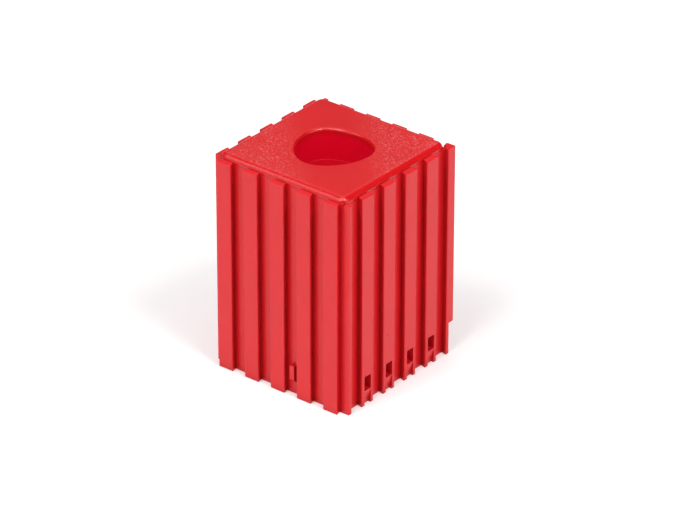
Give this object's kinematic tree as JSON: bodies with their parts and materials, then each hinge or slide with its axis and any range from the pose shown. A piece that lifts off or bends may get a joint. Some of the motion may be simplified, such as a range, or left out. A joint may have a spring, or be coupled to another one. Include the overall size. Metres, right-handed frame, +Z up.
{
  "type": "interlocking socket block",
  "caption": "Square moulded plastic block with a three-lobed socket in its top and dovetail ribs on its sides that slide into neighbouring blocks.",
  "frame": {"origin": "centre of the underside, on the surface that the block stands on", "axes": "+Z up through the socket; -Y is the front side with five ribs, +X the right side with the snap windows"},
  "size_m": [0.0514, 0.0514, 0.0708],
  "materials": {
    "body_plastic": "red satin moulded plastic, smooth",
    "cap_plastic": "red moulded plastic with a fine spark-eroded texture",
    "liner_plastic": "red moulded plastic, smooth and semi-gloss"
  },
  "bodies": {
    "housing": {"ribbed_body": "body_plastic"},
    "insert": {"top_cap": "cap_plastic", "socket_liner": "liner_plastic"}
  },
  "joints": [
    {"name": "insert_lift", "type": "slide", "parent": "housing", "child": "insert", "axis": [0, 0, 1], "range_m": [0, 0.06]}
  ]
}
